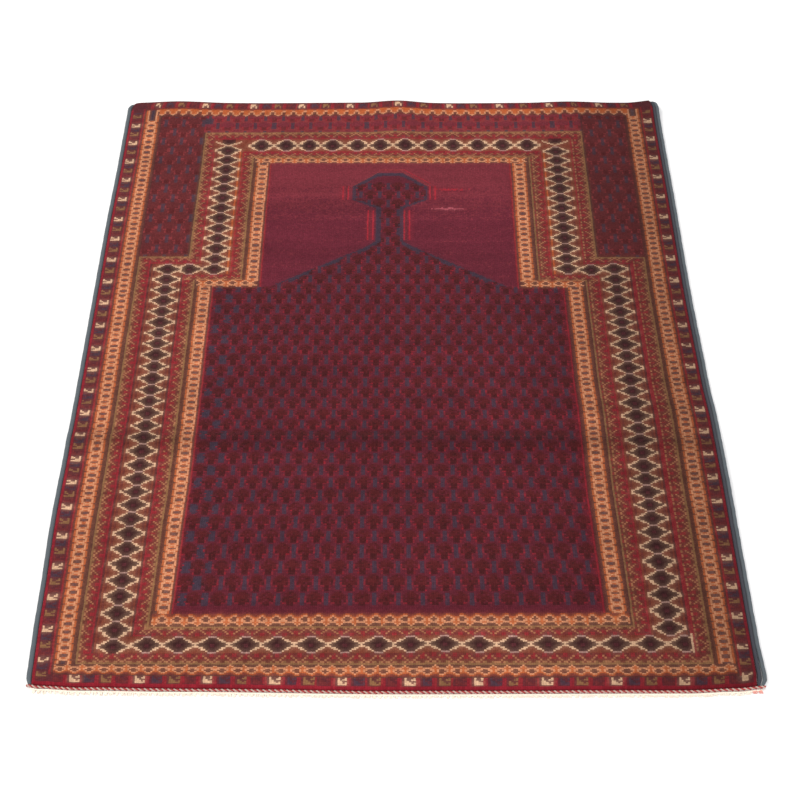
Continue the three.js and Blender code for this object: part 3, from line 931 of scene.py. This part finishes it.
def pile():
    """The knotted rug: pile, foundation and turned-under hem in one sheet."""
    sheet = pile_faces()
    mesh = bpy.data.meshes.new("pile")
    sheet.to_mesh(mesh)
    sheet.free()
    count = len(mesh.vertices)
    plan = np.empty(count * 3)
    mesh.vertices.foreach_get("co", plan)
    plan = plan.reshape(-1, 3)

    # The four yarns of each face
    middle = np.empty(len(mesh.polygons) * 3)
    mesh.polygons.foreach_get("center", middle)
    middle = middle.reshape(-1, 3)
    wide, deep = KNOT_COLUMNS // 2, KNOT_ROWS // 2
    column = np.clip((middle[:, 0] * wide).astype(int), 0, wide - 1)
    row = np.clip(((1 - middle[:, 1]) * deep).astype(int), 0, deep - 1)
    number = (chart + 0.5) / len(YARNS)
    for k, name in enumerate(KNOT_CORNERS):
        yarns = number[k // 2 :: 2, k % 2 :: 2]
        attribute = mesh.attributes.new(name, "FLOAT", "FACE")
        attribute.data.foreach_set("value", yarns[row, column].astype(np.float32))

    # Tufts lean over their neighbours, so that near colours mingle: the mean of the knots round each vertex
    at_row = ((1 - plan[:, 1]) * KNOT_ROWS).round().astype(int)
    at_column = (plan[:, 0] * KNOT_COLUMNS).round().astype(int)
    yarn = np.array([linear(colour)[:3] for colour in YARNS.values()])[chart]
    total = np.zeros((count, 4))
    for down in range(-MINGLED, MINGLED):
        for over in range(-MINGLED, MINGLED):
            r = np.clip(at_row + down, 0, KNOT_ROWS - 1)
            c = np.clip(at_column + over, 0, KNOT_COLUMNS - 1)
            total[:, :3] += yarn[r, c] / (2 * MINGLED) ** 2
    total[:, 3] = 1
    mingled = mesh.attributes.new("mingled", "FLOAT_COLOR", "POINT")
    mingled.data.foreach_set("color", total.ravel().astype(np.float32))

    # The UV map counts faces across and along; on the rim it stays within the outermost knots
    corner = np.empty(len(mesh.loops), int)
    mesh.loops.foreach_get("vertex_index", corner)
    start = np.empty(len(mesh.polygons), int)
    mesh.polygons.foreach_get("loop_start", start)
    rings = len(RIM["height"]) - 1
    face = np.repeat(np.arange(len(start)), np.diff([*start, len(corner)]))
    flat = (middle[face, 2] < 1e-4) | (middle[face, 2] > rings - 1e-4)
    tuck = np.where(flat, 0, 0.45 * plan[corner, 2] / rings)
    u = np.clip(plan[corner, 0] * wide, tuck, wide - tuck)
    v = np.clip((1 - plan[corner, 1]) * deep, tuck, deep - tuck)
    mesh.uv_layers["knots"].data.foreach_set("uv", np.stack([u, v], 1).ravel().astype(np.float32))

    mesh.vertices.foreach_set("co", pile_points(plan).ravel())
    mesh.update()
    front = knotted("wool pile", wobble=0.3, shade=0.77, mingling=0.38, sheen=0.06, depth=0.6, fibre=0.5)
    reverse = knotted("knot backs", wobble=0.05, shade=0.88, mingling=0.08, sheen=0.02, depth=0.45, fibre=0.25)
    return placed("knotted_pile", mesh, front, reverse)


def add_tube(shape, stations, sides, place, material=0):
    """Adds a closed tube: a grid of stations and sides, rolled up by place(u, v), closed at seam and ends."""
    layer = shape.loops.layers.uv.verify()
    made = bmesh.ops.create_grid(shape, x_segments=stations, y_segments=sides, size=0.5)["verts"]
    flat = np.array([vert.co[:] for vert in made]) + 0.5
    spots, laid = place(flat[:, 0], flat[:, 1])
    faces = {face for vert in made for face in vert.link_faces}
    number = {vert: k for k, vert in enumerate(made)}
    for face in faces:
        face.material_index = material
        for loop in face.loops:
            loop[layer].uv = laid[number[loop.vert]]
    for vert, spot in zip(made, spots):
        vert.co = spot
    bmesh.ops.remove_doubles(shape, verts=made, dist=2e-6)
    edges = {edge for face in faces if face.is_valid for edge in face.edges if edge.is_boundary}
    bmesh.ops.holes_fill(shape, edges=list(edges), sides=sides)


def finished(name, shape, *materials):
    bmesh.ops.recalc_face_normals(shape, faces=shape.faces)
    mesh = bpy.data.meshes.new(name)
    shape.to_mesh(mesh)
    shape.free()
    return placed(name, mesh, *materials)


WRAP = {"pitch": 2.1, "depth": 0.2, "slant": 0.8, "stations": 3}


def side_cord(name, cord, hand, material):
    """A selvedge: warps overcast with hair, which lies round them in close turns."""
    shape = bmesh.new()
    radius = cord["width"] / (2 * cord["lobes"])
    edge_of = left_side if hand < 0 else right_side

    def lobe(middle, phase):
        def place(u, v):
            along = u * PILE_LENGTH
            around = 2 * math.pi * v
            end = np.minimum(along, PILE_LENGTH - along)
            taper = 0.5 + 0.5 * np.sqrt(np.clip(end / 9, 0, 1))
            turn = along / WRAP["pitch"] + phase + WRAP["slant"] * np.sin(around) / 2
            bulge = 1 + WRAP["depth"] * (np.abs(np.sin(math.pi * turn)) - 0.75) / radius
            wave = 1 + 0.35 * uneven(along, 7.7) / cord["width"]
            wave *= 1 + (cord["flare"] - 1) * eased(FLARE, along)
            out = GAP / 3 + (cord["width"] / 2 + middle) * wave * taper
            side = edge_of(along)
            spot = point(side, along, 0)
            spot[:, 0] = (side + hand * (out + radius * 1.04 * taper * bulge * np.cos(around))) * MM
            high = cord["height"] / 2
            spot[:, 2] += high * taper * (1 + bulge * np.sin(around)) * MM
            return spot, np.stack([along, v], 1)

        return place

    stations = round(PILE_LENGTH / WRAP["pitch"] * WRAP["stations"])
    if cord["lobes"] == 1:
        add_tube(shape, stations, 12, lobe(0, 0))
    else:
        add_tube(shape, stations, 10, lobe(-radius, 0))
        add_tube(shape, stations, 10, lobe(radius, 0.5), material=1)
    return finished(name, shape, *material)


def twined_cord():
    """Two plies wound round each other across the near end, one pale and one red."""
    shape = bmesh.new()
    near = np.array([float(PILE_LENGTH)])
    first, last = left_side(near)[0] - LEFT_CORD["width"], right_side(near)[0] + RIGHT_CORD["width"]
    turns = (last - first) / TWINE["turn"]
    offset = TWINE["wide"] - TWINE["ply"]
    for ply in (0, 1):

        def place(u, v):
            across = first + (last - first) * u
            turn = 2 * math.pi * (turns * u + 0.5 * ply)
            around = 2 * math.pi * v
            thick = TWINE["ply"] * (1 + 0.1 * uneven(across + 40 * ply, 6.0))
            thick = thick * (0.6 + 0.4 * np.clip(u * (1 - u) * 900, 0, 1))
            rise = 0.35 * uneven(across, 31.0) + 0.35
            out = offset * np.cos(turn) + thick * np.cos(around)
            up = offset * np.sin(turn) + thick * np.sin(around) + rise
            spot = np.stack([across, near_line(across, TWINE["wide"]) + out, TWINE["wide"] + up], 1) * MM
            return spot, np.stack([across, v], 1)

        add_tube(shape, round(turns * TWINE["stations"]), 8, place, material=ply)
    lay = {"ribs": 1.1, "twist": 1.0, "depth": 0.3}
    pale = spun("pale twine", (226, 176, 160), (255, 236, 222), **lay)
    red = spun("red twine", (176, 52, 58), (226, 100, 94), **lay)
    return finished("twined_end_cord", shape, pale, red)


def fringe():
    """The warp ends: locks of a few fine strands that lie on the floor, and the strip that they leave."""
    shape = bmesh.new()
    rng = np.random.default_rng(23)
    near = np.array([float(PILE_LENGTH)])
    first = left_side(near)[0] - 1
    last = right_side(near)[0] + 0.6 * RIGHT_CORD["width"]

    def strip(u, v):
        across = first + (last - first) * u
        around = 2 * math.pi * v
        middle = near_line(across, 2 * TWINE["wide"] + STRIP["width"] / 2)
        out = STRIP["width"] * 0.62 * np.cos(around)
        up = STRIP["height"] / 2 * (1 + np.sin(around) * (0.9 + 0.1 * uneven(across, 3.0)))
        return np.stack([across, middle + out, up], 1) * MM, np.stack([across, v], 1)

    add_tube(shape, 420, 6, strip)
    count = round((last - first) / LOCK["pitch"])
    for k in range(count):
        centre = first + (k + 0.5) * (last - first) / count
        length = LOCK["length"] * (1 + 0.2 * float(uneven(k, 0.9)))
        length += LOCK["longer_left"] * (1 - k / count) ** 3
        lean = LOCK["lean"] * (1 + 0.5 * float(uneven(k, 1.7)))
        for strand in range(6):
            share = (strand - 2.5) / 2.5
            root = centre + share * LOCK["width"] * 0.36 + rng.normal(0, 0.25)
            tip = root + lean + share * 0.5 + rng.normal(0, 0.7)
            reach = length * (1 - 0.16 * share * share) + rng.normal(0, 0.45)
            thick = 0.62 + 0.08 * rng.normal()
            curl = rng.normal(0, 0.5)
            rise = 0.35 + 0.4 * rng.random()

            def lock(u, v):
                start = near_line(np.array([root]), 2 * TWINE["wide"] + STRIP["width"])[0] + 0.6
                across = root + (tip - root) * u + curl * np.sin(math.pi * u)
                around = 2 * math.pi * v
                width = thick * (1.15 - 0.75 * u**2)
                high = width + rise * np.sin(math.pi * np.clip(1.1 * u, 0, 1)) * 0.8
                out = start - (reach + 0.6) * u
                spot = np.stack([across + width * np.cos(around), out, high + width * np.sin(around)], 1) * MM
                return spot, np.stack([reach * u, v], 1)

            add_tube(shape, 5, 5, lock, material=int(k > count - 3))
    lay = {"ribs": 1.6, "twist": 2.0, "depth": 0.2, "sheen": 0.2, "groove_shade": 0.1}
    cream = spun("warp ends", (252, 226, 202), (255, 248, 236), **lay)
    pink = spun("dyed warp ends", (224, 136, 126), (248, 186, 172), **lay)
    return finished("warp_ends", shape, cream, pink)


def dress():
    """Makes every piece, and says which node of the frame each stands for."""
    weave()
    lay = {"ribs": WRAP["pitch"], "twist": 0.0, "depth": 0.4}
    hair = spun("slate goat hair", (66, 76, 82), (140, 148, 154), **lay)
    dark_hair = spun("dark goat hair", (48, 52, 60), (104, 104, 112), **lay)
    rug = pile()
    left = side_cord("overcast_edge_left", LEFT_CORD, -1, [hair])
    right = side_cord("overcast_edge_right", RIGHT_CORD, 1, [dark_hair, hair])
    cord = twined_cord()
    ends = fringe()
    stands_for = (
        (rug, "pile_body", "wool_pile"),
        (left, "selvedge_left", "selvedge_hair"),
        (right, "selvedge_right", "selvedge_hair"),
        (cord, "twined_cord", "twined_wool"),
        (ends, "warp_fringe", "warp_wool"),
    )
    for piece, node, slot in stands_for:
        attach(piece, "root")
        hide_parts(node)


# Floor, light and camera

FLOOR_SIZE = 14
CAMERA = {
    "across": -0.009,
    "back": 2.448,
    "height": 1.747,
    "down": 45.3,
    "lens": 77.0,
    "sensor": 36,
    "shift": 0.0158,
}
WORLD_STRENGTH = 0.78
LAMPS = (
    {"name": "key", "at": (-2.3, 1.5, 2.6), "size": 2.4, "power": 66, "colour": (255, 250, 246)},
    {"name": "front", "at": (-0.7, -2.9, 2.5), "size": 2.2, "power": 56, "colour": (255, 252, 250)},
    {"name": "fill", "at": (2.6, -0.3, 2.6), "size": 2.6, "power": 22, "colour": (248, 250, 255)},
)


def studio():
    """A plain pale floor under soft light."""
    ground = bmesh.new()
    bmesh.ops.create_grid(ground, x_segments=2, y_segments=2, size=FLOOR_SIZE / 2)
    bmesh.ops.translate(ground, verts=ground.verts, vec=(0, 0, -0.3 * MM))
    mesh = bpy.data.meshes.new("floor")
    ground.to_mesh(mesh)
    ground.free()
    s = Shader("pale floor")
    here = s.add("TexCoord", out=3)
    cloud = s.noise(here, 3.0, 2.0)
    pale = s.ramp(cloud, [(0, (0.9, 0.9, 0.9, 1)), (1, (0.93, 0.93, 0.93, 1))])
    s.set(s.surface.inputs["Base Color"], pale)
    s.surface.inputs["Roughness"].default_value = 0.9
    placed("floor", mesh, s.material)

    world = bpy.data.worlds.new("studio")
    world.use_nodes = True
    world.node_tree.nodes["Background"].inputs["Color"].default_value = (1, 1, 1, 1)
    world.node_tree.nodes["Background"].inputs["Strength"].default_value = WORLD_STRENGTH
    bpy.context.scene.world = world
    for lamp in LAMPS:
        light = bpy.data.lights.new(lamp["name"], "AREA")
        light.shape = "DISK"
        light.size = lamp["size"]
        light.energy = lamp["power"]
        light.color = linear(lamp["colour"])[:3]
        held = bpy.data.objects.new(lamp["name"], light)
        held.location = lamp["at"]
        held.rotation_euler = (-held.location).to_track_quat("-Z", "Y").to_euler()
        bpy.context.scene.collection.objects.link(held)
    bpy.context.scene.view_settings.view_transform = "Standard"


def camera():
    """At the photograph's angle: straight over the near end's middle, looking along the rug and down."""
    lens = bpy.data.cameras.new("camera")
    lens.lens = CAMERA["lens"]
    lens.sensor_width = CAMERA["sensor"]
    lens.shift_x = CAMERA["shift"]
    held = bpy.data.objects.new("camera", lens)
    held.location = (CAMERA["across"], FAR * MM - CAMERA["back"], CAMERA["height"])
    held.rotation_euler = (math.radians(90 - CAMERA["down"]), 0, 0)
    bpy.context.scene.collection.objects.link(held)
    bpy.context.scene.camera = held


dress()
studio()
camera()
